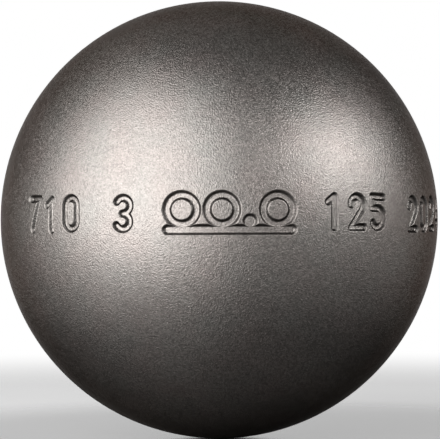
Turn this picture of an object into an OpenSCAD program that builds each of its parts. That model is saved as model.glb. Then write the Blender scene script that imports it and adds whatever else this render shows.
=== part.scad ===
// Petanque boule: a hollow steel ball made of two pressed half-shells.
// A lip centres one half-shell in the other, a weld bead fills the groove between them, and the whole is
// turned to one sphere. Plain marks are stamped in the front half-shell, on a band square to the weld.
// The origin is the centre of the ball, +Z is up, and the weld lies in the XZ plane. The marks face -Y.

/* [Ball] */
// Outside diameter of the finished ball
ball_d = 74; // [70.5:0.5:80]
// Thickness of the wall
wall_t = 6.25; // [5.5:0.05:8]

/* [Weld joint] */
// Width of the weld groove where it opens outside
groove_w = 7; // [5:0.25:9]
// Width of the weld groove at its root
root_w = 1.6; // [1:0.1:3]
// Height of the root faces, which butt under the groove
root_face_h = 1; // [0.6:0.1:1.5]
// Thickness of the centring lip, inside the root faces
lip_t = 2; // [1.4:0.1:2.5]
// Length of the centring lip past the root faces
lip_len = 2.6; // [1.5:0.1:4]
// Chamfer round the lip's outer corner
lip_chamfer = 0.5; // [0.2:0.1:0.8]
// Gap round the lip in its recess
lip_clearance = 0.05; // [0.02:0.01:0.1]
// Gap between the lip's end and the end of its recess
lip_end_gap = 0.3; // [0.1:0.1:0.6]

/* [Stamped band] */
// Depth of every mark
mark_depth = 0.5; // [0.3:0.05:0.8]
// Height of the band's middle above the middle of the ball
band_rise = 0.6; // [-3:0.1:3]
// Height of a digit
digit_h = 5.7; // [4.5:0.1:7]
// Width of a digit
digit_w = 3.4; // [2.8:0.1:4]
// Width of a digit's strokes
digit_stroke_w = 0.9; // [0.6:0.05:1]
// Distance along the band from one digit to the next
digit_pitch = 4.35; // [4.2:0.05:5]

/* [Numbers] */
// Mass in grams
mass_digits = [7, 1, 0]; // [0:1:9]
// Place of the mass round the band, in degrees
mass_angle = -45.5; // [-50:0.5:-43]
// Number of the boule in its set
set_digits = [3]; // [0:1:9]
// Place of the set number round the band, in degrees
set_angle = -23.7; // [-26:0.1:-22]
// Hardness in kilograms to the square millimetre
hardness_digits = [1, 2, 5]; // [0:1:9]
// Place of the hardness round the band, in degrees
hardness_angle = 35.5; // [33:0.5:38]
// Year in which the boule was made
year_digits = [2, 0, 2, 4]; // [0:1:9]
// Place of the year round the band, in degrees
year_angle = 67.2; // [62:0.1:70]

/* [Boules and jack mark] */
// Place of the mark round the band, in degrees
emblem_angle = 2.6; // [0:0.1:5]
// Outside diameter of a ring, which stands for a boule
ring_d = 5.6; // [4:0.1:6]
// Width of a ring's groove
ring_stroke_w = 1.1; // [0.8:0.05:1.4]
// Diameter of the dot that stands for the jack
jack_d = 2; // [1.4:0.1:2.6]
// Distance from each ring or dot to the next
ring_gap = 0.5; // [0.3:0.1:0.8]
// Width of the ground line's groove
ground_w = 1.3; // [0.8:0.05:1.6]
// How far the rings and the dot reach into the ground line
ring_sink = 0.4; // [0.3:0.1:0.6]

/* [Hidden] */
// Names of the pieces, and which of them is drawn

// Smoothness of the small round surfaces, and of the large ones
$fn = 48;
ball_fn = 144;
// Way that the seam of each shell's surface faces before the joint cuts it away, in degrees
front_seam_angle = 90;
rear_seam_angle = -90;

// How far a cutting shape runs past what it cuts
overrun = 1;

ball_r = ball_d / 2;
hollow_r = ball_r - wall_t;
// The lip lines the inside of the wall, the root faces lie on it, and the groove opens from there outwards
lip_r = hollow_r + lip_t;
groove_root_r = lip_r + root_face_h;
recess_r = lip_r + lip_clearance;
recess_depth = lip_len + lip_end_gap;

// Shares of a digit's width and height, between the middles of its strokes, where strokes start, end and meet
one_flag_shares = [0.9, 0.35];
two_neck_angle = -40;
three_end_angle = 150;
four_top_share = 0.4;
four_bar_share = -0.5;
four_post_shares = [0.65, 0.15];
five_bowl_share = 0.25;
five_end_angle = 205;
six_end_angle = 30;
seven_foot_share = -0.5;
// Number of straight edges across a wedge that cuts an arc from a ring, and its reach in ring sizes
wedge_edges = 6;
wedge_reach_share = 1.5;

digit_half_w = (digit_w - digit_stroke_w) / 2;
digit_half_h = (digit_h - digit_stroke_w) / 2;
// Radius of the two stacked bowls of a 3 or an 8, and of the bowl of a 5
bowl_r = min(digit_half_w, digit_half_h / 2);
five_bowl_r = min(digit_half_w, digit_half_h * (1 + five_bowl_share) / 2);

// Three rings and a dot stand side by side on the ground line, which is as long as the row
ring_count = 3;
ground_l = ring_count * ring_d + jack_d + ring_count * ring_gap;
emblem_h = ring_d - ring_sink + ground_w;
ring_y = emblem_h / 2 - ring_d / 2;
first_ring_x = ring_d / 2 - ground_l / 2;
second_ring_x = first_ring_x + ring_d + ring_gap;
jack_x = second_ring_x + ring_d / 2 + ring_gap + jack_d / 2;
third_ring_x = jack_x + jack_d / 2 + ring_gap + ring_d / 2;
jack_y = ring_y - ring_d / 2 + jack_d / 2;
ground_y = -emblem_h / 2 + ground_w / 2;

// Turns a shape that stands on +Z so that it lies along +Y, square to the weld
module across_weld() {
  rotate([-90, 0, 0]) children();
}

// A ball turned about Z, so that the seam of its surface lies where no mark or groove crosses it
module ball(radius, seam_angle) {
  rotate([0, 0, seam_angle]) sphere(r = radius, $fn = ball_fn);
}

// The wall of the finished ball, all round
module ball_wall(seam_angle) {
  difference() {
    ball(ball_r, seam_angle);
    ball(hollow_r, seam_angle);
  }
}

// Everything in front of the weld plane, with the centring lip reaching past it
module front_of_joint() {
  across_weld() {
    translate([0, 0, -ball_d]) cylinder(r = ball_d, h = ball_d, $fn = ball_fn);
    translate([0, 0, -overrun]) cylinder(r = lip_r, h = overrun + lip_len - lip_chamfer, $fn = ball_fn);
    translate([0, 0, lip_len - lip_chamfer])
      cylinder(r1 = lip_r, r2 = lip_r - lip_chamfer, h = lip_chamfer, $fn = ball_fn);
  }
}

// Everything behind the weld plane, less the recess for the lip
module rear_of_joint() {
  across_weld() difference() {
    cylinder(r = ball_d, h = ball_d, $fn = ball_fn);
    translate([0, 0, -overrun]) cylinder(r = recess_r, h = overrun + recess_depth, $fn = ball_fn);
  }
}

// The ring that the weld groove takes out, a little taller than the wall
module groove_ring() {
  groove_slope = (groove_w - root_w) / 2 / (ball_r - groove_root_r);
  mouth_half_w = groove_w / 2 + groove_slope * overrun;
  across_weld() rotate_extrude($fn = ball_fn)
    polygon([
      [groove_root_r, -root_w / 2],
      [ball_r + overrun, -mouth_half_w],
      [ball_r + overrun, mouth_half_w],
      [groove_root_r, root_w / 2]
    ]);
}

// A straight stroke with round ends, between two points
module bar(from, to, w) {
  run = to - from;
  translate(from) rotate(atan2(run.y, run.x)) translate([0, -w / 2]) square([norm(run), w]);
  for (end = [from, to]) translate(end) circle(d = w);
}

// A curved stroke with round ends, about a centre and from one angle to another
module bend(centre, radius, from_angle, to_angle, w) {
  step = (to_angle - from_angle) / wedge_edges;
  reach = (radius + w) * wedge_reach_share;
  translate(centre) {
    intersection() {
      ring(2 * radius + w, w);
      polygon(concat([[0, 0]], [for (i = [0:wedge_edges]) reach * along(from_angle + i * step)]));
    }
    for (angle = [from_angle, to_angle]) translate(radius * along(angle)) circle(d = w);
  }
}

// The unit vector at an angle
function along(angle) = [cos(angle), sin(angle)];

// A round groove, by its outside diameter and its width
module ring(d, w) {
  difference() {
    circle(d = d);
    circle(d = d - 2 * w);
  }
}

// One digit, centred
module digit(n) {
  x = digit_half_w;
  y = digit_half_h;
  w = digit_stroke_w;
  if (n == 0) {
    bend([0, y - x], x, 0, 180, w);
    bend([0, x - y], x, 180, 360, w);
    for (side = [-x, x]) bar([side, x - y], [side, y - x], w);
  }
  if (n == 1) {
    bar([0, -y], [0, y], w);
    bar([0, y], [-x * one_flag_shares[0], y - y * one_flag_shares[1]], w);
  }
  if (n == 2) {
    bend([0, y - x], x, two_neck_angle, 180, w);
    bar([0, y - x] + x * along(two_neck_angle), [-x, -y], w);
    bar([-x, -y], [x, -y], w);
  }
  if (n == 3) {
    bend([x - bowl_r, y - bowl_r], bowl_r, -90, three_end_angle, w);
    bend([x - bowl_r, bowl_r - y], bowl_r, -three_end_angle, 90, w);
  }
  if (n == 4) {
    bar([x * four_top_share, y], [-x, y * four_bar_share], w);
    bar([-x, y * four_bar_share], [x, y * four_bar_share], w);
    bar([x * four_post_shares[0], y * four_post_shares[1]], [x * four_post_shares[0], -y], w);
  }
  if (n == 5) {
    r = five_bowl_r;
    bar([-x, y], [x, y], w);
    bar([-x, y], [-x, y * five_bowl_share], w);
    bar([-x, y * five_bowl_share], [x - r, y * five_bowl_share], w);
    bend([x - r, y * five_bowl_share - r], r, 0, 90, w);
    bar([x, y * five_bowl_share - r], [x, r - y], w);
    bend([x - r, r - y], r, five_end_angle, 360, w);
  }
  if (n == 6) {
    bend([0, y - x], x, six_end_angle, 180, w);
    bar([-x, y - x], [-x, x - y], w);
    translate([0, x - y]) ring(2 * x + w, w);
  }
  if (n == 7) {
    bar([-x, y], [x, y], w);
    bar([x, y], [x * seven_foot_share, -y], w);
  }
  if (n == 8) {
    for (centre_y = [bowl_r - y, y - bowl_r]) translate([0, centre_y]) ring(2 * bowl_r + w, w);
  }
  if (n == 9) rotate(180) digit(6);
}

// Three boules and a jack on the ground, centred
module emblem() {
  for (ring_x = [first_ring_x, second_ring_x, third_ring_x])
    translate([ring_x, ring_y]) ring(ring_d, ring_stroke_w);
  translate([jack_x, jack_y]) circle(d = jack_d);
  ground_end_x = ground_l / 2 - ground_w / 2;
  bar([-ground_end_x, ground_y], [ground_end_x, ground_y], ground_w);
}

// Pushes a flat mark in through the wall from outside, at an angle round the band
module stamp(angle) {
  rotate([0, 0, angle]) translate([0, -hollow_r, band_rise]) rotate([90, 0, 0])
    linear_extrude(height = wall_t + overrun) children();
}

// A row of digits whose middle is at an angle round the band
module stamped_number(digits, middle_angle) {
  pitch_angle = digit_pitch / ball_r * 180 / PI;
  for (i = [0:len(digits) - 1])
    stamp(middle_angle + (i - (len(digits) - 1) / 2) * pitch_angle) digit(digits[i]);
}

// Everything that the marks take out of the wall, to one depth below the surface of the ball
module all_marks() {
  difference() {
    union() {
      stamped_number(mass_digits, mass_angle);
      stamped_number(set_digits, set_angle);
      stamp(emblem_angle) emblem();
      stamped_number(hardness_digits, hardness_angle);
      stamped_number(year_digits, year_angle);
    }
    ball(ball_r - mark_depth, front_seam_angle);
  }
}

// The pressed half with the centring lip and the stamped band
module front_half_shell() {
  color("dimgray") difference() {
    intersection() {
      ball_wall(front_seam_angle);
      front_of_joint();
    }
    groove_ring();
    all_marks();
  }
}

// The pressed half with the recess for the lip
module rear_half_shell() {
  color("gray") difference() {
    intersection() {
      ball_wall(rear_seam_angle);
      rear_of_joint();
    }
    groove_ring();
  }
}

// The weld metal that fills the groove, turned flush with the ball
module weld_bead() {
  color("slategray") intersection() {
    across_weld() sphere(r = ball_r, $fn = ball_fn);
    groove_ring();
  }
}

front_half_shell();
rear_half_shell();
weld_bead();
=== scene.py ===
import math

import bpy
import numpy as np
from bpy.props import FloatProperty, FloatVectorProperty, IntProperty, IntVectorProperty, PointerProperty
from bpy.types import Operator, Panel, PropertyGroup
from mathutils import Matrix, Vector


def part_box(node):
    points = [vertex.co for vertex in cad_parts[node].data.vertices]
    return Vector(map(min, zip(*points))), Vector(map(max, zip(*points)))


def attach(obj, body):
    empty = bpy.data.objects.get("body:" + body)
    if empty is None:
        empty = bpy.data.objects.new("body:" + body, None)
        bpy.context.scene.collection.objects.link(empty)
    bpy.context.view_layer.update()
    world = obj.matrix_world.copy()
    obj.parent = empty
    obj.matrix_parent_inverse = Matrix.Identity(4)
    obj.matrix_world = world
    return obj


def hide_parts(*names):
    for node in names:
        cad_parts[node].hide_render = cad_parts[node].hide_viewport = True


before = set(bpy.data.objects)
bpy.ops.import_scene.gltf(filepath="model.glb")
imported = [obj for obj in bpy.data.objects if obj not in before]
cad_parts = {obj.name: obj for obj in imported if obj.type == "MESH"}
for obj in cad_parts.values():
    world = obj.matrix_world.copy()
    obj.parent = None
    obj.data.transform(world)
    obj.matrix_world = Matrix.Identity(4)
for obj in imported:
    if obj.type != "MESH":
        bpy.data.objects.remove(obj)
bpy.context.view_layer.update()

bl_info = {
    "name": "Petanque boule",
    "version": (1, 0, 0),
    "blender": (4, 5, 0),
    "location": "3D View > Sidebar > Boule",
    "description": "A hollow steel boule of two pressed half-shells, welded, turned, stamped and blasted",
    "category": "Add Mesh",
}

MM = 0.001
WHITE = (1.0, 1.0, 1.0, 1.0)

# Sizes that the frame already holds
BALL_RADIUS = max(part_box("weld_bead")[1])
BEAD_HALF_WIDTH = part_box("weld_bead")[1][1]
LIP_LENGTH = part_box("front_half_shell")[1][1]

# Which way each shell faces along Y
FRONT = -1
REAR = 1

# How finely the meshes are made
BALL_SUBDIVISIONS = 6
MARK_SUBDIVISIONS = 4
INSIDE_RINGS = 18
BEAD_STEPS = 8
BEAD_SEGMENTS = 256
SMOOTH_ANGLE = math.radians(20)

# Area of a triangle whose three sides are 1
TRIANGLE = math.sqrt(3) / 4

# Every run strikes the digits with the same unevenness
STRIKE_SEED = 12

# The steel's clouds and its warm and cool patches, in waves per metre
CLOUD_WAVES = 110.0
PATCH_WAVES = 150.0

# How much facets, clouds and bare metal change the steel's roughness
FACET_ROUGHNESS = 0.12
CLOUD_ROUGHNESS = 0.08
BARE_SMOOTHNESS = 0.1

# The stretch of the scratches' noise along and across them, in metres, and the two ways they run
SCRATCH_LENGTH = 1 / 60.0
SCRATCH_WIDTH = 1 / 2600.0
SCRATCH_TURNS = ((0.3, 0.8, 0.5), (0.9, -0.5, 2.2))

# How far from the ball's foot, in metres, the floor's painted shadow fades to its far colour, and that to
# white
PAINTED_SHADOW_FADE = (0.045, 0.09)
WHITE_FADE = (0.13, 0.28)

# Between these heights, as sines of the angle above the horizon, the room turns from white to grey
ROOM_FADE = (0.12, 0.35)
ROOM_GREY = 0.22


# Sizes and colours that a user would change

class BouleSizes(PropertyGroup):
    """Sizes of the turned ball and of the joint inside its wall"""

    ball_radius: FloatProperty(
        name="Ball radius", description="Outside radius of the finished ball",
        default=BALL_RADIUS, min=0.03, max=0.045, precision=5, subtype="DISTANCE", unit="LENGTH")
    wall: FloatProperty(
        name="Wall", description="Thickness of the steel wall",
        default=6.25 * MM, min=0.003, max=0.01, precision=5, subtype="DISTANCE", unit="LENGTH")
    bead_half_width: FloatProperty(
        name="Bead half width", description="From the middle of the weld bead to its edge on the surface",
        default=BEAD_HALF_WIDTH, min=0.001, max=0.006, precision=5, subtype="DISTANCE", unit="LENGTH")
    root_half_width: FloatProperty(
        name="Root half width", description="From the middle of the weld bead to its edge at the root",
        default=0.8 * MM, min=0.0003, max=0.002, precision=5, subtype="DISTANCE", unit="LENGTH")
    root_face: FloatProperty(
        name="Root face", description="Height of the faces that butt under the weld",
        default=1 * MM, min=0.0005, max=0.002, precision=5, subtype="DISTANCE", unit="LENGTH")
    lip_thickness: FloatProperty(
        name="Lip thickness", description="Thickness of the centring lip",
        default=2 * MM, min=0.001, max=0.003, precision=5, subtype="DISTANCE", unit="LENGTH")
    lip_length: FloatProperty(
        name="Lip length", description="How far the centring lip reaches past the root faces",
        default=LIP_LENGTH, min=0.001, max=0.005, precision=5, subtype="DISTANCE", unit="LENGTH")
    lip_chamfer: FloatProperty(
        name="Lip chamfer", description="Chamfer round the lip's outer corner",
        default=0.5 * MM, min=0.0001, max=0.001, precision=5, subtype="DISTANCE", unit="LENGTH")
    lip_clearance: FloatProperty(
        name="Lip clearance", description="Gap round the lip in its recess",
        default=0.05 * MM, min=0.00001, max=0.0002, precision=5, subtype="DISTANCE", unit="LENGTH")
    lip_end_gap: FloatProperty(
        name="Lip end gap", description="Gap between the lip's end and the end of its recess",
        default=0.3 * MM, min=0.0001, max=0.001, precision=5, subtype="DISTANCE", unit="LENGTH")
    seam_line: FloatProperty(
        name="Seam line", description="Half width of the faint line where a shell meets the bead",
        default=0.18 * MM, min=0.0, max=0.001, precision=5, subtype="DISTANCE", unit="LENGTH")


class MarkSizes(PropertyGroup):
    """Sizes and places of the marks stamped round the front of the ball"""

    depth: FloatProperty(
        name="Depth", description="Depth of every mark",
        default=0.5 * MM, min=0.0001, max=0.001, precision=5, subtype="DISTANCE", unit="LENGTH")
    band_rise: FloatProperty(
        name="Band rise", description="Height of the band's middle above the middle of the ball",
        default=0.6 * MM, min=-0.003, max=0.003, precision=5, subtype="DISTANCE", unit="LENGTH")
    digit_height: FloatProperty(
        name="Digit height", description="Height of a digit",
        default=5.7 * MM, min=0.003, max=0.008, precision=5, subtype="DISTANCE", unit="LENGTH")
    digit_width: FloatProperty(
        name="Digit width", description="Width of a digit",
        default=3.4 * MM, min=0.002, max=0.005, precision=5, subtype="DISTANCE", unit="LENGTH")
    digit_stroke: FloatProperty(
        name="Digit stroke", description="Width of a digit's strokes",
        default=0.9 * MM, min=0.0005, max=0.0015, precision=5, subtype="DISTANCE", unit="LENGTH")
    digit_pitch: FloatProperty(
        name="Digit pitch", description="Distance along the band from one digit to the next",
        default=4.35 * MM, min=0.003, max=0.006, precision=5, subtype="DISTANCE", unit="LENGTH")
    ring_diameter: FloatProperty(
        name="Ring diameter", description="Outside diameter of a ring, which stands for a boule",
        default=5.6 * MM, min=0.003, max=0.008, precision=5, subtype="DISTANCE", unit="LENGTH")
    ring_stroke: FloatProperty(
        name="Ring stroke", description="Width of a ring's groove",
        default=1.1 * MM, min=0.0005, max=0.002, precision=5, subtype="DISTANCE", unit="LENGTH")
    ring_gap: FloatProperty(
        name="Ring gap", description="Distance from each ring or dot to the next",
        default=0.5 * MM, min=0.0002, max=0.001, precision=5, subtype="DISTANCE", unit="LENGTH")
    ring_sink: FloatProperty(
        name="Ring sink", description="How far the rings and the dot reach into the ground line",
        default=0.4 * MM, min=0.0002, max=0.001, precision=5, subtype="DISTANCE", unit="LENGTH")
    jack_diameter: FloatProperty(
        name="Jack diameter", description="Diameter of the dot that stands for the jack",
        default=2 * MM, min=0.001, max=0.003, precision=5, subtype="DISTANCE", unit="LENGTH")
    ground_width: FloatProperty(
        name="Ground width", description="Width of the ground line's groove",
        default=1.3 * MM, min=0.0005, max=0.002, precision=5, subtype="DISTANCE", unit="LENGTH")
    mass: IntVectorProperty(
        name="Mass", description="Digits of the mass in grams", size=3, default=(7, 1, 0), min=0, max=9)
    set_number: IntVectorProperty(
        name="Set number", description="Digit of the boule in its set", size=1, default=(3,), min=0, max=9)
    hardness: IntVectorProperty(
        name="Hardness", description="Digits of the hardness", size=3, default=(1, 2, 5), min=0, max=9)
    year: IntVectorProperty(
        name="Year", description="Digits of the year of making", size=4, default=(2, 0, 2, 4), min=0, max=9)
    mass_angle: FloatProperty(
        name="Mass angle", description="Place of the mass round the band",
        default=math.radians(-45.5), subtype="ANGLE", unit="ROTATION")
    set_angle: FloatProperty(
        name="Set number angle", description="Place of the set number round the band",
        default=math.radians(-23.7), subtype="ANGLE", unit="ROTATION")
    emblem_angle: FloatProperty(
        name="Emblem angle", description="Place of the boules and jack round the band",
        default=math.radians(2.6), subtype="ANGLE", unit="ROTATION")
    hardness_angle: FloatProperty(
        name="Hardness angle", description="Place of the hardness round the band",
        default=math.radians(35.5), subtype="ANGLE", unit="ROTATION")
    year_angle: FloatProperty(
        name="Year angle", description="Place of the year round the band",
        default=math.radians(67.2), subtype="ANGLE", unit="ROTATION")
    strike_tilt: FloatProperty(
        name="Strike tilt", description="How far the hand-struck digits lean to either side at most",
        default=math.radians(1.6), min=0.0, max=0.1, subtype="ANGLE", unit="ROTATION")
    strike_shift: FloatProperty(
        name="Strike shift", description="How far the hand-struck digits sit off the band's middle at most",
        default=0.12 * MM, min=0.0, max=0.0005, precision=5, subtype="DISTANCE", unit="LENGTH")
    strike_slope: FloatProperty(
        name="Strike slope", description="How much deeper one side of a hand-struck digit is at most",
        default=0.18, min=0.0, max=0.5, subtype="FACTOR")
    wall_outside: FloatProperty(
        name="Wall outside", description="How far a mark's wall starts outside the stroke's edge",
        default=0.24 * MM, min=0.0, max=0.0003, precision=5, subtype="DISTANCE", unit="LENGTH")
    wall_inside: FloatProperty(
        name="Wall inside", description="How far a mark's wall runs inside the stroke's edge",
        default=0.26 * MM, min=0.0001, max=0.0004, precision=5, subtype="DISTANCE", unit="LENGTH")
    burr_height: FloatProperty(
        name="Burr height", description="Height of the low ridge that the stamp pushed up",
        default=0.018 * MM, min=0.0, max=0.0001, precision=6, subtype="DISTANCE", unit="LENGTH")
    burr_width: FloatProperty(
        name="Burr width", description="Width of that ridge",
        default=0.3 * MM, min=0.0001, max=0.001, precision=5, subtype="DISTANCE", unit="LENGTH")


class SteelFinish(PropertyGroup):
    """Colours and grain of the blasted steel"""

    colour: FloatVectorProperty(
        name="Steel colour", description="Colour of the blasted steel",
        default=(0.171, 0.147, 0.138), size=3, min=0.0, max=1.0, subtype="COLOR")
    cool_colour: FloatVectorProperty(
        name="Cool colour", description="Colour of the cooler patches in the steel",
        default=(0.151, 0.149, 0.14), size=3, min=0.0, max=1.0, subtype="COLOR")
    edge_tint: FloatVectorProperty(
        name="Edge colour", description="Colour of the steel seen along its surface",
        default=(0.222, 0.2, 0.191), size=3, min=0.0, max=1.0, subtype="COLOR")
    roughness: FloatProperty(
        name="Roughness", description="Roughness of the blasted steel",
        default=0.35, min=0.0, max=1.0, subtype="FACTOR")
    grain: FloatProperty(
        name="Grain size", description="Distance from one bump of the blasting to the next",
        default=0.24 * MM, min=0.0001, max=0.001, precision=5, subtype="DISTANCE", unit="LENGTH")
    grain_height: FloatProperty(
        name="Grain height", description="Height of the bumps of the blasting",
        default=0.1 * MM, min=0.0, max=0.0005, precision=6, subtype="DISTANCE", unit="LENGTH")
    dent_share: FloatProperty(
        name="Dent share", description="How much of the bumps are round dents",
        default=0.3, min=0.0, max=1.0, subtype="FACTOR")
    darkest_facet: FloatProperty(
        name="Darkest facet", description="How light the darkest facets are, where the steel's colour is 1",
        default=0.665, min=0.0, max=1.0)
    facet_contrast: FloatProperty(
        name="Facet contrast", description="How much lighter the lightest facets are",
        default=0.57, min=0.0, max=1.0)
    cloud_contrast: FloatProperty(
        name="Cloud contrast", description="How much the soft clouds lighten the steel",
        default=0.08, min=0.0, max=1.0)
    # Painted shade: how much the marks' walls are darkened in their colour
    wall_painted_shade: FloatProperty(
        name="Wall darkness", description="How much darker the marks' walls are",
        default=0.65, min=0.0, max=1.0, subtype="FACTOR")
    burnish: FloatProperty(
        name="Burnish", description="How much lighter the marks' ground is",
        default=0.1, min=0.0, max=1.0, subtype="FACTOR")
    seam_darkness: FloatProperty(
        name="Seam darkness", description="How much darker the line along the weld bead is",
        default=0.35, min=0.0, max=1.0, subtype="FACTOR")
    speck_spacing: FloatProperty(
        name="Speck spacing", description="Distance from one place for a bare speck to the next",
        default=2.6 * MM, min=0.0005, max=0.02, precision=5, subtype="DISTANCE", unit="LENGTH")
    speck_size: FloatProperty(
        name="Speck size", description="Radius of a speck with its soft edge",
        default=0.12 * MM, min=0.00001, max=0.001, precision=5, subtype="DISTANCE", unit="LENGTH")
    speck_share: FloatProperty(
        name="Speck share", description="Share of the places for a speck that have one",
        default=0.12, min=0.0, max=1.0, subtype="FACTOR")
    speck_lightness: FloatProperty(
        name="Speck lightness", description="How much lighter a speck is",
        default=0.9, min=0.0, max=2.0)
    scratch_limit: FloatProperty(
        name="Scratch limit", description="How rare the fine scratches are, from many at 0.6 to none at 1",
        default=0.76, min=0.6, max=1.0, subtype="FACTOR")
    scratch_lightness: FloatProperty(
        name="Scratch lightness", description="How much lighter a scratch is",
        default=0.35, min=0.0, max=2.0)
    weld_lightness: FloatProperty(
        name="Weld lightness", description="How light the weld bead is, where the shells are 1",
        default=1.06, min=0.5, max=1.5)


class StudioLevels(PropertyGroup):
    """The floor, the light and the camera"""

    # Painted shadow: the floor's darker colour close round the ball
    floor_painted_shadow: FloatVectorProperty(
        name="Floor near", description="Colour of the floor close round the ball",
        default=(0.11, 0.11, 0.11), size=3, min=0.0, max=1.0, subtype="COLOR")
    floor_far: FloatVectorProperty(
        name="Floor far", description="Colour of the floor further out",
        default=(0.45, 0.45, 0.45), size=3, min=0.0, max=1.0, subtype="COLOR")
    left_radiance: FloatProperty(
        name="Left light", description="Brightness of the left light's face, where a white page is 1",
        default=5.4, min=0.0, max=20.0)
    right_radiance: FloatProperty(
        name="Right light", description="Brightness of the right light's face, where a white page is 1",
        default=10.7, min=0.0, max=20.0)
    low_radiance: FloatProperty(
        name="Low light", description="Brightness of the low light's face, where a white page is 1",
        default=4.2, min=0.0, max=20.0)
    back_radiance: FloatProperty(
        name="Back light", description="Brightness of the back light's face, where a white page is 1",
        default=0.52, min=0.0, max=20.0)
    camera_distance: FloatProperty(
        name="Camera distance", description="How far the camera is from the ball's middle, in ball radii",
        default=9.0, min=2.0, max=50.0)
    camera_elevation: FloatProperty(
        name="Camera elevation", description="Height of the camera above the ball's middle, as an angle",
        default=math.radians(-0.8), subtype="ANGLE", unit="ROTATION")
    camera_roll: FloatProperty(
        name="Camera roll", description="How far the camera is turned about its own axis",
        default=math.radians(-0.25), subtype="ANGLE", unit="ROTATION")
    photo_width: IntProperty(
        name="Photo width", description="Width of the photograph in pixels", default=440, min=1)
    frame_shift: FloatVectorProperty(
        name="Frame shift", description="How far the frame is moved right and up, in the photo's pixels",
        default=(0.8, 0.3), size=2)


# Small helpers for modelling

def make_active(piece):
    """Leave one object selected and active, in object mode"""
    if bpy.context.object and bpy.context.object.mode != "OBJECT":
        bpy.ops.object.mode_set(mode="OBJECT")
    bpy.ops.object.select_all(action="DESELECT")
    piece.select_set(True)
    bpy.context.view_layer.objects.active = piece


def read_points(mesh):
    """The places of a mesh's vertices as rows"""
    points = np.empty(len(mesh.vertices) * 3)
    mesh.vertices.foreach_get("co", points)
    return points.reshape(-1, 3)


def write_points(mesh, points):
    """Put a mesh's vertices at new places"""
    mesh.vertices.foreach_set("co", points.ravel())
    mesh.update()


def select_faces(piece, chosen):
    """Select the chosen faces and nothing else, and enter edit mode"""
    mesh = piece.data
    mesh.vertices.foreach_set("select", np.zeros(len(mesh.vertices), dtype=bool))
    mesh.edges.foreach_set("select", np.zeros(len(mesh.edges), dtype=bool))
    mesh.polygons.foreach_set("select", chosen)
    bpy.ops.object.mode_set(mode="EDIT")
    bpy.ops.mesh.select_mode(type="FACE")


def draw_rings(rings):
    """Extrude the selected edge loop through rings, each a radius and a place along Y

    The loop already lies on the first ring.
    """
    for (radius_from, y_from), (radius_to, y_to) in zip(rings, rings[1:]):
        scale = radius_to / radius_from
        bpy.ops.mesh.extrude_edges_move()
        bpy.ops.transform.resize(value=(scale, 1, scale), center_override=(0, 0, 0))
        bpy.ops.transform.translate(value=(0, y_to - y_from, 0))


def smooth(share):
    """A share that leaves 0 and reaches 1 without a corner"""
    return share * share * (3 - 2 * share)


def hand_over(piece, node):
    """Let a finished piece stand for its node"""
    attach(piece, "root")
    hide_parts(node)


# The marks as strokes in a plane, with angles in degrees

def bar(start, end, width):
    """A straight stroke with round ends"""
    return ("bar", start, end, width)


def dot(centre, diameter):
    """A round dimple"""
    return ("bar", centre, centre, diameter)


def bend(centre, radius, first, last, width):
    """A curved stroke with round ends, from its first angle round to its last"""
    return ("bend", centre, radius, first, last, width)


def ring(centre, diameter, width):
    """A round groove"""
    return bend(centre, (diameter - width) / 2, 0, 360, width)


def along(centre, radius, degrees):
    """The point at an angle round a centre"""
    return (centre[0] + radius * math.cos(math.radians(degrees)),
            centre[1] + radius * math.sin(math.radians(degrees)))


def digit_strokes(number, sizes):
    """The strokes of one digit, centred"""
    # The middle lines of the strokes, which are w wide, reach x to the sides and y up and down
    w = sizes.digit_stroke
    x = (sizes.digit_width - w) / 2
    y = (sizes.digit_height - w) / 2
    bowl = min(x, y / 2)
    if number == 0:
        return [bend((0, y - x), x, 0, 180, w), bend((0, x - y), x, 180, 360, w),
                bar((-x, x - y), (-x, y - x), w), bar((x, x - y), (x, y - x), w)]
    if number == 1:
        return [bar((0, -y), (0, y), w), bar((0, y), (-0.9 * x, 0.65 * y), w)]
    if number == 2:
        neck = along((0, y - x), x, -40)
        return [bend((0, y - x), x, -40, 180, w), bar(neck, (-x, -y), w), bar((-x, -y), (x, -y), w)]
    if number == 3:
        return [bend((x - bowl, y - bowl), bowl, -90, 150, w),
                bend((x - bowl, bowl - y), bowl, -150, 90, w)]
    if number == 4:
        return [bar((0.4 * x, y), (-x, -0.5 * y), w), bar((-x, -0.5 * y), (x, -0.5 * y), w),
                bar((0.65 * x, 0.15 * y), (0.65 * x, -y), w)]
    if number == 5:
        top = 0.25 * y
        r = min(x, (y + top) / 2)
        return [bar((-x, y), (x, y), w), bar((-x, y), (-x, top), w), bar((-x, top), (x - r, top), w),
                bend((x - r, top - r), r, 0, 90, w), bar((x, top - r), (x, r - y), w),
                bend((x - r, r - y), r, 205, 360, w)]
    if number == 6:
        return [bend((0, y - x), x, 30, 180, w), bar((-x, y - x), (-x, x - y), w),
                ring((0, x - y), 2 * x + w, w)]
    if number == 7:
        return [bar((-x, y), (x, y), w), bar((x, y), (-0.5 * x, -y), w)]
    if number == 8:
        return [ring((0, y - bowl), 2 * bowl + w, w), ring((0, bowl - y), 2 * bowl + w, w)]
    return [bend((0, x - y), x, 210, 360, w), bar((x, x - y), (x, y - x), w),
            ring((0, y - x), 2 * x + w, w)]


def emblem_strokes(sizes):
    """Three boules and a jack on the ground, centred"""
    boule = sizes.ring_diameter
    jack = sizes.jack_diameter
    gap = sizes.ring_gap
    ground = sizes.ground_width
    length = 3 * boule + jack + 3 * gap
    height = boule - sizes.ring_sink + ground
    ring_y = height / 2 - boule / 2
    first = boule / 2 - length / 2
    second = first + boule + gap
    jack_x = second + boule / 2 + gap + jack / 2
    third = jack_x + jack / 2 + gap + boule / 2
    ground_x = length / 2 - ground / 2
    ground_y = ground / 2 - height / 2
    strokes = [ring((x, ring_y), boule, sizes.ring_stroke) for x in (first, second, third)]
    strokes.append(dot((jack_x, ring_y - boule / 2 + jack / 2), jack))
    strokes.append(bar((-ground_x, ground_y), (ground_x, ground_y), ground))
    return strokes


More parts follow.
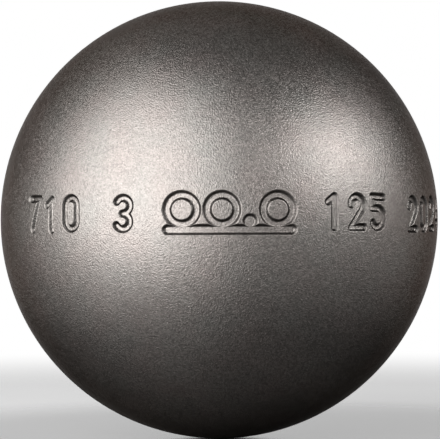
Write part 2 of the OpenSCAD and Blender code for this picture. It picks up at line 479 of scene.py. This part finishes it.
def stroke_distance(stroke, u, v):
    """Distance from points to a stroke's edge, negative inside"""
    if stroke[0] == "bar":
        (x0, y0), (x1, y1), width = stroke[1:]
        dx = x1 - x0
        dy = y1 - y0
        length_squared = dx * dx + dy * dy
        if length_squared == 0:
            return np.hypot(u - x0, v - y0) - width / 2
        share = np.clip(((u - x0) * dx + (v - y0) * dy) / length_squared, 0, 1)
        return np.hypot(u - x0 - share * dx, v - y0 - share * dy) - width / 2
    centre, radius, first, last, width = stroke[1:]
    du = u - centre[0]
    dv = v - centre[1]
    distance = np.abs(np.hypot(du, dv) - radius)
    if last - first < 360:
        start = math.radians(first)
        turn = np.mod(np.arctan2(dv, du) - start, 2 * math.pi)
        ends = [along(centre, radius, degrees) for degrees in (first, last)]
        nearest = np.minimum(*[np.hypot(u - x, v - y) for x, y in ends])
        distance = np.where(turn <= math.radians(last) - start, distance, nearest)
    return distance - width / 2


def all_marks(sizes, ball_radius):
    """Every mark as a table of its angle round the band, its rise, tilt and slopes, and its strokes"""
    marks = [{
        "angle": sizes.emblem_angle,
        "rise": sizes.band_rise,
        "tilt": 0.0,
        "slope_u": 0.0,
        "slope_v": 0.0,
        "strokes": emblem_strokes(sizes),
    }]
    pitch = sizes.digit_pitch / ball_radius
    groups = (
        (sizes.mass, sizes.mass_angle),
        (sizes.set_number, sizes.set_angle),
        (sizes.hardness, sizes.hardness_angle),
        (sizes.year, sizes.year_angle),
    )
    # Each digit is struck by hand with its own punch
    draw = np.random.default_rng(STRIKE_SEED)
    for digits, middle in groups:
        for place, number in enumerate(digits):
            tilt, shift, slope_u, slope_v = draw.uniform(-1, 1, 4)
            marks.append({
                "angle": middle + (place - (len(digits) - 1) / 2) * pitch,
                "rise": sizes.band_rise + shift * sizes.strike_shift,
                "tilt": tilt * sizes.strike_tilt,
                "slope_u": slope_u * sizes.strike_slope / sizes.digit_width * 2,
                "slope_v": slope_v * sizes.strike_slope / sizes.digit_height * 2,
                "strokes": digit_strokes(number, sizes),
            })
    return marks


def mark_distance(points, marks, sizes, far):
    """Distance from points on the ball to the nearest mark's edge, and how deep that mark is there

    No distance is more than far, and the depth is a share of the marks' depth.
    """
    # The widest mark, three rings and a dot, stays within this reach of its middle
    reach_across = sizes.ring_diameter * 2 + far
    reach_up = sizes.ring_diameter + far
    nearest = np.full(len(points), far)
    strength = np.ones(len(points))
    for mark in marks:
        angle = mark["angle"]
        tilt = mark["tilt"]
        u = points[:, 0] * math.cos(angle) + points[:, 1] * math.sin(angle)
        behind = points[:, 1] * math.cos(angle) - points[:, 0] * math.sin(angle)
        v = points[:, 2] - mark["rise"]
        near = np.nonzero((behind < 0) & (np.abs(u) < reach_across) & (np.abs(v) < reach_up))[0]
        across = u[near] * math.cos(tilt) + v[near] * math.sin(tilt)
        up = v[near] * math.cos(tilt) - u[near] * math.sin(tilt)
        distance = nearest[near]
        for stroke in mark["strokes"]:
            distance = np.minimum(distance, stroke_distance(stroke, across, up))
        depth_here = 1 + mark["slope_u"] * across + mark["slope_v"] * up
        strength[near] = np.where(distance < nearest[near], depth_here, strength[near])
        nearest[near] = distance
    return nearest, strength


# The two half-shells and the weld bead

def put_on_ball(points, radius):
    """The same points, each moved straight in or out to the surface of the ball"""
    return points * (radius / np.linalg.norm(points, axis=1))[:, None]


def refine_round_marks(piece, marks, sizes, radius):
    """Subdivide the faces near the marks again and again, and keep every vertex on the ball"""
    mesh = piece.data
    mark_edge = sizes.wall_outside + sizes.burr_width / 2
    edge = math.sqrt(4 * math.pi * radius ** 2 / len(mesh.polygons) / TRIANGLE)
    for _ in range(MARK_SUBDIVISIONS):
        centres = np.empty(len(mesh.polygons) * 3)
        mesh.polygons.foreach_get("center", centres)
        centres = put_on_ball(centres.reshape(-1, 3), radius)
        far = sizes.burr_width + edge * 2
        distance = mark_distance(centres, marks, sizes, far)[0]
        areas = np.empty(len(mesh.polygons))
        mesh.polygons.foreach_get("area", areas)
        # The centre of a face that touches a mark lies nearer to it than this
        near = distance < mark_edge + edge * 0.8
        # A face that an earlier pass has made small enough isn't divided again
        coarse = areas > edge ** 2 * TRIANGLE / 3
        select_faces(piece, near & coarse)
        bpy.ops.mesh.subdivide(number_cuts=1)
        bpy.ops.mesh.select_all(action="SELECT")
        bpy.ops.mesh.quads_convert_to_tris(quad_method="BEAUTY", ngon_method="BEAUTY")
        bpy.ops.object.mode_set(mode="OBJECT")
        write_points(mesh, put_on_ball(read_points(mesh), radius))
        edge /= 2


def press_group(piece, name, weights, height):
    """Press the surface in or out by a height times each vertex's weight"""
    group = piece.vertex_groups.new(name=name)
    # Weights that are too small to show are left out
    for index in np.nonzero(weights > 1e-4)[0]:
        group.add([int(index)], float(weights[index]), "REPLACE")
    press = piece.modifiers.new(name, "DISPLACE")
    press.vertex_group = name
    press.direction = "NORMAL"
    press.mid_level = 0
    press.strength = height
    make_active(piece)
    bpy.ops.object.modifier_apply(modifier=name)
    piece.vertex_groups.remove(piece.vertex_groups[name])


def stamp_marks(piece, marks, sizes, radius):
    """Press the marks in, with soft walls and a low ridge round them"""
    far = sizes.burr_width * 2
    distance, strength = mark_distance(put_on_ball(read_points(piece.data), radius), marks, sizes, far)
    ramp = np.clip((sizes.wall_outside - distance) / (sizes.wall_outside + sizes.wall_inside), 0, 1)
    # An even slope with corners that are only a little rounded
    depth = 0.5 * ramp + 0.5 * smooth(ramp)
    ridge = np.clip(1 - np.abs(distance - sizes.wall_outside) / (sizes.burr_width / 2), 0, 1)
    press_group(piece, "burr", smooth(ridge), sizes.burr_height)
    # A weight is at most 1, so the deepest place has that weight
    deepest = strength.max()
    press_group(piece, "stamp", depth * strength / deepest, -sizes.depth * deepest)
    # The material reads how deep each place is pressed
    pressed = piece.data.attributes.new("pressed", "FLOAT", "POINT")
    pressed.data.foreach_set("value", depth)


def cut_at_mouth(piece, facing, sizes):
    """Cut the ball at the edge of the weld groove and leave that edge selected in edit mode"""
    mouth = math.sqrt(sizes.ball_radius ** 2 - sizes.bead_half_width ** 2)
    plane = facing * sizes.bead_half_width
    make_active(piece)
    bpy.ops.object.mode_set(mode="EDIT")
    bpy.ops.mesh.select_mode(type="EDGE")
    bpy.ops.mesh.select_all(action="SELECT")
    bpy.ops.mesh.bisect(plane_co=(0, plane, 0), plane_no=(0, -facing, 0), clear_outer=True)
    bpy.ops.object.mode_set(mode="OBJECT")
    # The cut also takes in the vertices that lie close beside it, so the whole rim is put in place
    points = read_points(piece.data)
    rim = np.empty(len(points), dtype=bool)
    piece.data.vertices.foreach_get("select", rim)
    rim_radius = np.hypot(points[rim, 0], points[rim, 2])
    points[rim, 0] *= mouth / rim_radius
    points[rim, 2] *= mouth / rim_radius
    points[rim, 1] = plane
    write_points(piece.data, points)
    bpy.ops.object.mode_set(mode="EDIT")
    return mouth


def inside_rings(sizes, start, facing):
    """Rings down the inside of the wall, from a place along Y to nearly the pole"""
    hollow = sizes.ball_radius - sizes.wall
    first = math.asin(start / hollow * facing)
    rings = []
    for step in range(INSIDE_RINGS):
        angle = first + (math.pi / 2 - first) * step / INSIDE_RINGS
        rings.append((hollow * math.cos(angle), facing * hollow * math.sin(angle)))
    return rings


def half_shell(name, facing, sizes, before_cut=None):
    """One pressed half: outside, weld groove, root face, lip or recess, and inside"""
    bpy.ops.object.select_all(action="DESELECT")
    bpy.ops.mesh.primitive_ico_sphere_add(subdivisions=BALL_SUBDIVISIONS, radius=sizes.ball_radius)
    piece = bpy.context.object
    piece.name = name
    piece.data.name = name
    if before_cut:
        before_cut(piece)
    mouth = cut_at_mouth(piece, facing, sizes)
    lip = sizes.ball_radius - sizes.wall + sizes.lip_thickness
    root = lip + sizes.root_face
    rings = [(mouth, facing * sizes.bead_half_width), (root, facing * sizes.root_half_width), (root, 0)]
    if facing == FRONT:
        inside_start = sizes.lip_length
        rings += [(lip, 0), (lip, sizes.lip_length - sizes.lip_chamfer),
                  (lip - sizes.lip_chamfer, sizes.lip_length)]
    else:
        inside_start = sizes.lip_length + sizes.lip_end_gap
        recess = lip + sizes.lip_clearance
        rings += [(recess, 0), (recess, inside_start)]
    draw_rings(rings + inside_rings(sizes, inside_start, facing))
    bpy.ops.mesh.merge(type="CENTER")
    bpy.ops.object.mode_set(mode="OBJECT")
    make_active(piece)
    bpy.ops.object.shade_smooth_by_angle(angle=SMOOTH_ANGLE)
    return piece


class BOULE_OT_front_shell(Operator):
    """Add the front half-shell, with its marks stamped in"""

    bl_idname = "boule.front_shell"
    bl_label = "Stamped Front Shell"

    def execute(self, context):
        sizes = context.scene.boule_sizes
        mark_sizes = context.scene.boule_marks
        marks = all_marks(mark_sizes, sizes.ball_radius)

        def refine(piece):
            refine_round_marks(piece, marks, mark_sizes, sizes.ball_radius)

        piece = half_shell("stamped_front_shell", FRONT, sizes, refine)
        stamp_marks(piece, marks, mark_sizes, sizes.ball_radius)
        piece.data.materials.append(shell_steel(context.scene))
        hand_over(piece, "front_half_shell")
        return {"FINISHED"}


class BOULE_OT_rear_shell(Operator):
    """Add the plain rear half-shell"""

    bl_idname = "boule.rear_shell"
    bl_label = "Plain Rear Shell"

    def execute(self, context):
        piece = half_shell("plain_rear_shell", REAR, context.scene.boule_sizes)
        piece.data.materials.append(shell_steel(context.scene))
        hand_over(piece, "rear_half_shell")
        return {"FINISHED"}


class BOULE_OT_weld_ring(Operator):
    """Add the ring of weld metal, turned flush with the shells"""

    bl_idname = "boule.weld_ring"
    bl_label = "Turned Weld Ring"

    def execute(self, context):
        sizes = context.scene.boule_sizes
        radius = sizes.ball_radius
        half_width = sizes.bead_half_width
        root = radius - sizes.wall + sizes.lip_thickness + sizes.root_face
        rings = []
        for step in range(BEAD_STEPS + 1):
            y = half_width * (2 * step / BEAD_STEPS - 1)
            rings.append((math.sqrt(radius ** 2 - y ** 2), y))
        # Down the bead's far side, along its root, and back to where the rings began
        rings += [(root, sizes.root_half_width), (root, -sizes.root_half_width), rings[0]]
        bpy.ops.object.select_all(action="DESELECT")
        bpy.ops.mesh.primitive_circle_add(
            vertices=BEAD_SEGMENTS, radius=rings[0][0],
            location=(0, rings[0][1], 0), rotation=(math.pi / 2, 0, 0))
        piece = bpy.context.object
        piece.name = "turned_weld_ring"
        piece.data.name = "turned_weld_ring"
        bpy.ops.object.transform_apply(location=True, rotation=True, scale=True)
        bpy.ops.object.mode_set(mode="EDIT")
        bpy.ops.mesh.select_mode(type="EDGE")
        bpy.ops.mesh.select_all(action="SELECT")
        draw_rings(rings)
        bpy.ops.mesh.select_all(action="SELECT")
        bpy.ops.mesh.remove_doubles(threshold=0.001 * MM)
        bpy.ops.mesh.normals_make_consistent(inside=False)
        bpy.ops.object.mode_set(mode="OBJECT")
        bpy.ops.object.shade_smooth_by_angle(angle=SMOOTH_ANGLE)
        piece.data.materials.append(weld_steel(context.scene))
        hand_over(piece, "weld_bead")
        return {"FINISHED"}


# Shader maths

class Socket:
    """An output socket that takes part in expressions, each of which adds its Math nodes"""

    def __init__(self, tree, output):
        self.tree = tree
        self.output = output

    def math(self, operation, *values):
        return self.tree.node("ShaderNodeMath", {"operation": operation}, *values)

    def __add__(self, other):
        return self.math("ADD", self, other)

    def __radd__(self, other):
        return self.math("ADD", other, self)

    def __sub__(self, other):
        return self.math("SUBTRACT", self, other)

    def __rsub__(self, other):
        return self.math("SUBTRACT", other, self)

    def __mul__(self, other):
        return self.math("MULTIPLY", self, other)

    def __rmul__(self, other):
        return self.math("MULTIPLY", other, self)

    def absolute(self):
        return self.math("ABSOLUTE", self)

    def ramp(self, low, high):
        """0 below low, 1 above high, and smooth between them"""
        settings = {"interpolation_type": "SMOOTHSTEP"}
        return self.tree.node("ShaderNodeMapRange", settings, self, low, high, 0.0, 1.0)


class Shader:
    """The node tree of one material or world"""

    def __init__(self, owner):
        owner.use_nodes = True
        self.nodes = owner.node_tree.nodes
        self.links = owner.node_tree.links
        self.nodes.clear()

    def node(self, kind, settings, *values, out=0, **named):
        """Add a node, make its settings, then give its sockets values or links, and return an output"""
        node = self.nodes.new(kind)
        for name, value in settings.items():
            setattr(node, name, value)
        # A named socket's spaces are written as underscores, because Python names have none
        pairs = list(enumerate(values)) + [(name.replace("_", " "), named[name]) for name in named]
        for key, value in pairs:
            socket = node.inputs[key]
            if isinstance(value, Socket):
                self.links.new(value.output, socket)
            else:
                socket.default_value = value
        return Socket(self, node.outputs[out]) if node.outputs else None


def worn_specks(tree, place, finish):
    """Small round specks, 1 inside and 0 outside, in some of the cells of an even spacing"""
    scale = 1 / finish.speck_spacing
    size = finish.speck_size * scale
    rare = 1.0 - finish.speck_share
    cells = {"feature": "F1"}
    from_middle = tree.node("ShaderNodeTexVoronoi", cells, Vector=place, Scale=scale, out="Distance")
    chance = tree.node("ShaderNodeTexVoronoi", cells, Vector=place, Scale=scale, out="Color")
    chosen = tree.node("ShaderNodeSeparateColor", {}, chance, out="Red").ramp(rare, rare + 0.001)
    return chosen * (1.0 - from_middle.ramp(0.5 * size, size))


def fine_scratches(tree, place, turn, finish):
    """Short hair-thin scratches that run one way, 1 on a scratch and 0 beside it"""
    turned = tree.node("ShaderNodeMapping", {"vector_type": "TEXTURE"}, place, Rotation=turn,
                       Scale=(SCRATCH_LENGTH, SCRATCH_WIDTH, SCRATCH_WIDTH))
    streaks = tree.node("ShaderNodeTexNoise", {}, turned, Scale=1.0, Detail=1.0, Roughness=0.4)
    return streaks.ramp(finish.scratch_limit, finish.scratch_limit + 0.05)


def blasted_normal(tree, place, finish):
    """The bumps of bead blasting, which are noise with some round dents in it"""
    waves = 1.2 / finish.grain
    noise = tree.node("ShaderNodeTexNoise", {}, Vector=place, Scale=waves, Detail=1.0, Roughness=0.6)
    cells = {"feature": "SMOOTH_F1"}
    dents = tree.node("ShaderNodeTexVoronoi", cells, Vector=place, Scale=1.1 / finish.grain)
    height = (1.0 - finish.dent_share) * noise + finish.dent_share * dents
    return tree.node("ShaderNodeBump", {}, Strength=1.0, Distance=finish.grain_height, Height=height)


def blasted_steel(name, sizes, finish, lightness):
    """Dark steel with the fine even grain of bead blasting, and a faint line along the weld"""
    material = bpy.data.materials.get(name)
    if material:
        return material
    material = bpy.data.materials.new(name)
    tree = Shader(material)
    place = tree.node("ShaderNodeTexCoord", {}, out="Object")
    # Each struck facet is a little lighter or darker than the next, under faint clouds
    cells = {"feature": "F1"}
    facets = tree.node("ShaderNodeTexVoronoi", cells, Vector=place, Scale=1 / finish.grain, out="Color")
    clouds = tree.node("ShaderNodeTexNoise", {}, Vector=place, Scale=CLOUD_WAVES, Detail=3.0)
    patches = tree.node("ShaderNodeTexNoise", {}, Vector=place, Scale=PATCH_WAVES, Detail=3.0)
    # The marks' walls get painted shade, and their ground is a little burnished
    pressed = tree.node("ShaderNodeAttribute", {"attribute_name": "pressed"}, out="Fac")
    # Painted shade on the marks' walls, strongest halfway down each wall
    wall = 4.0 * pressed * (1.0 - pressed)
    # The joint with the weld bead shows as a dark hairline, broken where the patches are cool
    across = tree.node("ShaderNodeSeparateXYZ", {}, place, out="Y")
    from_seam = (across.absolute() - sizes.bead_half_width).absolute()
    seam = (1.0 - from_seam.ramp(0.0, sizes.seam_line)) * patches.ramp(0.3, 0.6)
    # Specks and scratches are bare metal
    scratches = [fine_scratches(tree, place, turn, finish) for turn in SCRATCH_TURNS]
    scratched = scratches[0] + scratches[1]
    bare = finish.speck_lightness * worn_specks(tree, place, finish) + finish.scratch_lightness * scratched

    shade = finish.darkest_facet + finish.facet_contrast * facets + finish.cloud_contrast * clouds
    shade = shade * (1.0 - finish.wall_painted_shade * wall) * (1.0 + finish.burnish * pressed)
    shade = lightness * shade * (1.0 - finish.seam_darkness * seam) * (1.0 + bare)
    metal = tree.node("ShaderNodeMix", {"data_type": "RGBA"}, patches, out=2,
                      A=(*finish.cool_colour, 1.0), B=(*finish.colour, 1.0))
    colour = tree.node("ShaderNodeVectorMath", {"operation": "SCALE"}, metal, Scale=shade)
    # Facets and clouds change the roughness evenly to both sides, and bare metal is smoother
    smoothest = finish.roughness - 0.5 * (FACET_ROUGHNESS + CLOUD_ROUGHNESS)
    roughness = smoothest + FACET_ROUGHNESS * facets + CLOUD_ROUGHNESS * clouds - BARE_SMOOTHNESS * bare
    steel = tree.node("ShaderNodeBsdfPrincipled", {}, Base_Color=colour, Roughness=roughness, Metallic=1.0,
                      Normal=blasted_normal(tree, place, finish), Specular_Tint=(*finish.edge_tint, 1.0))
    tree.node("ShaderNodeOutputMaterial", {}, Surface=steel)
    return material


def shell_steel(scene):
    """The steel of both half-shells"""
    return blasted_steel("blasted_shell_steel", scene.boule_sizes, scene.boule_finish, 1.0)


def weld_steel(scene):
    """The steel of the weld bead, which blasts a little lighter"""
    finish = scene.boule_finish
    return blasted_steel("blasted_weld_steel", scene.boule_sizes, finish, finish.weld_lightness)


# The studio

def pale_floor(levels):
    """A pale glossy floor with a painted mid-grey shadow close round the ball, that goes over into white"""
    material = bpy.data.materials.new("pale_floor")
    tree = Shader(material)
    place = tree.node("ShaderNodeTexCoord", {}, out="Object")
    distance = tree.node("ShaderNodeVectorMath", {"operation": "LENGTH"}, place, out="Value")
    # The floor's colour is a painted shadow close round the ball and pale further out
    floor_and_painted_shadow = tree.node("ShaderNodeMix", {"data_type": "RGBA"}, distance.ramp(*PAINTED_SHADOW_FADE), out=2,
                      A=(*levels.floor_painted_shadow, 1.0), B=(*levels.floor_far, 1.0))
    painted = tree.node("ShaderNodeBsdfPrincipled", {}, Base_Color=floor_and_painted_shadow, Roughness=0.2, IOR=1.9)
    white = tree.node("ShaderNodeEmission", {}, Color=WHITE, Strength=1.0)
    mixed = tree.node("ShaderNodeMixShader", {}, distance.ramp(*WHITE_FADE), painted, white)
    tree.node("ShaderNodeOutputMaterial", {}, Surface=mixed)
    return material


def add_light(name, radiance, azimuth, distance, middle, width, height, tilt=0, roll=0, lit=None):
    """A soft rectangular light that faces the ball's axis

    Its place is an angle round that axis, a distance from it and the height of its own middle.
    It falls on all there is, or on the lit pieces alone, as with a flag beside it.
    """
    lamp = bpy.data.lights.new(name, "AREA")
    lamp.shape = "RECTANGLE"
    lamp.size = width
    lamp.size_y = height
    # A lamp's watts are its brightness times its area times pi
    lamp.energy = radiance * width * height * math.pi
    light = bpy.data.objects.new(name, lamp)
    az = math.radians(azimuth)
    light.location = (distance * math.sin(az), -distance * math.cos(az), middle)
    light.rotation_euler = (math.pi / 2 - math.radians(tilt), 0, az)
    light.rotation_euler.rotate_axis("Z", math.radians(roll))
    light.visible_camera = False
    bpy.context.collection.objects.link(light)
    if lit:
        receivers = bpy.data.collections.new("lit_by_" + name)
        for piece in lit:
            receivers.objects.link(piece)
        light.light_linking.receiver_collection = receivers


def add_room():
    """A room that is white up to a little above the horizon, and grey above that"""
    world = bpy.data.worlds.new("room")
    tree = Shader(world)
    direction = tree.node("ShaderNodeTexCoord", {}, out="Generated")
    height = tree.node("ShaderNodeSeparateXYZ", {}, direction, out="Z")
    strength = ROOM_GREY + (1.0 - ROOM_GREY) * (1.0 - height.ramp(*ROOM_FADE))
    walls = tree.node("ShaderNodeBackground", {}, Color=WHITE, Strength=strength)
    tree.node("ShaderNodeOutputWorld", {}, Surface=walls)
    bpy.context.scene.world = world


def add_camera(levels, ball_radius):
    """The camera, with the photograph's angle and frame"""
    camera_data = bpy.data.cameras.new("camera")
    camera_data.sensor_width = 36.0
    camera_data.lens = 160.0
    camera_data.clip_start = 0.01
    camera_data.shift_x = levels.frame_shift[0] / levels.photo_width
    camera_data.shift_y = levels.frame_shift[1] / levels.photo_width
    camera = bpy.data.objects.new("camera", camera_data)
    distance = levels.camera_distance * ball_radius
    elevation = levels.camera_elevation
    camera.location = (0, -distance * math.cos(elevation), distance * math.sin(elevation))
    camera.rotation_euler = (math.pi / 2 - elevation, 0, 0)
    camera.rotation_euler.rotate_axis("Z", levels.camera_roll)
    bpy.context.collection.objects.link(camera)
    bpy.context.scene.camera = camera


class BOULE_OT_studio(Operator):
    """Add the pale floor, the four soft lights, the room and the camera"""

    bl_idname = "boule.studio"
    bl_label = "Studio"

    def execute(self, context):
        sizes = context.scene.boule_sizes
        levels = context.scene.boule_studio
        bpy.ops.object.select_all(action="DESELECT")
        bpy.ops.mesh.primitive_plane_add(size=6.0, location=(0, 0, -sizes.ball_radius))
        floor = context.object
        floor.name = "floor"
        floor.data.materials.append(pale_floor(levels))
        # Only the left light falls on the floor, where the others would make bright patches
        names = ("stamped_front_shell", "plain_rear_shell", "turned_weld_ring")
        pieces = [bpy.data.objects[name] for name in names]
        add_light("left_softbox", levels.left_radiance, azimuth=-44, distance=0.28, middle=0.224,
                  width=0.51, height=0.5, roll=-6)
        add_light("right_softbox", levels.right_radiance, azimuth=67, distance=0.8, middle=0.42,
                  width=0.73, height=0.32, tilt=28, roll=-8, lit=pieces)
        add_light("low_softbox", levels.low_radiance, azimuth=-41, distance=0.15, middle=-0.016,
                  width=0.12, height=0.038, lit=pieces)
        add_light("back_softbox", levels.back_radiance, azimuth=-158, distance=0.6, middle=0.53,
                  width=1.3, height=0.66, tilt=41, lit=pieces)
        add_room()
        add_camera(levels, sizes.ball_radius)
        context.scene.view_settings.view_transform = "Standard"
        return {"FINISHED"}


class BOULE_PT_panel(Panel):
    """Lists the boule's pieces in the sidebar, and what can be changed about them"""

    bl_label = "Petanque Boule"
    bl_idname = "BOULE_PT_panel"
    bl_space_type = "VIEW_3D"
    bl_region_type = "UI"
    bl_category = "Boule"

    def draw(self, context):
        for operator in (BOULE_OT_front_shell, BOULE_OT_rear_shell, BOULE_OT_weld_ring, BOULE_OT_studio):
            self.layout.operator(operator.bl_idname)
        for group in (context.scene.boule_sizes, context.scene.boule_marks,
                      context.scene.boule_finish, context.scene.boule_studio):
            box = self.layout.box()
            for name in group.__annotations__:
                box.prop(group, name)


CLASSES = (BouleSizes, MarkSizes, SteelFinish, StudioLevels, BOULE_OT_front_shell, BOULE_OT_rear_shell,
           BOULE_OT_weld_ring, BOULE_OT_studio, BOULE_PT_panel)


def register():
    for cls in CLASSES:
        bpy.utils.register_class(cls)
    bpy.types.Scene.boule_sizes = PointerProperty(type=BouleSizes)
    bpy.types.Scene.boule_marks = PointerProperty(type=MarkSizes)
    bpy.types.Scene.boule_finish = PointerProperty(type=SteelFinish)
    bpy.types.Scene.boule_studio = PointerProperty(type=StudioLevels)


def unregister():
    del bpy.types.Scene.boule_studio
    del bpy.types.Scene.boule_finish
    del bpy.types.Scene.boule_marks
    del bpy.types.Scene.boule_sizes
    for cls in reversed(CLASSES):
        bpy.utils.unregister_class(cls)


def main():
    register()
    bpy.ops.boule.front_shell()
    bpy.ops.boule.rear_shell()
    bpy.ops.boule.weld_ring()
    bpy.ops.boule.studio()


if __name__ == "__main__":
    main()
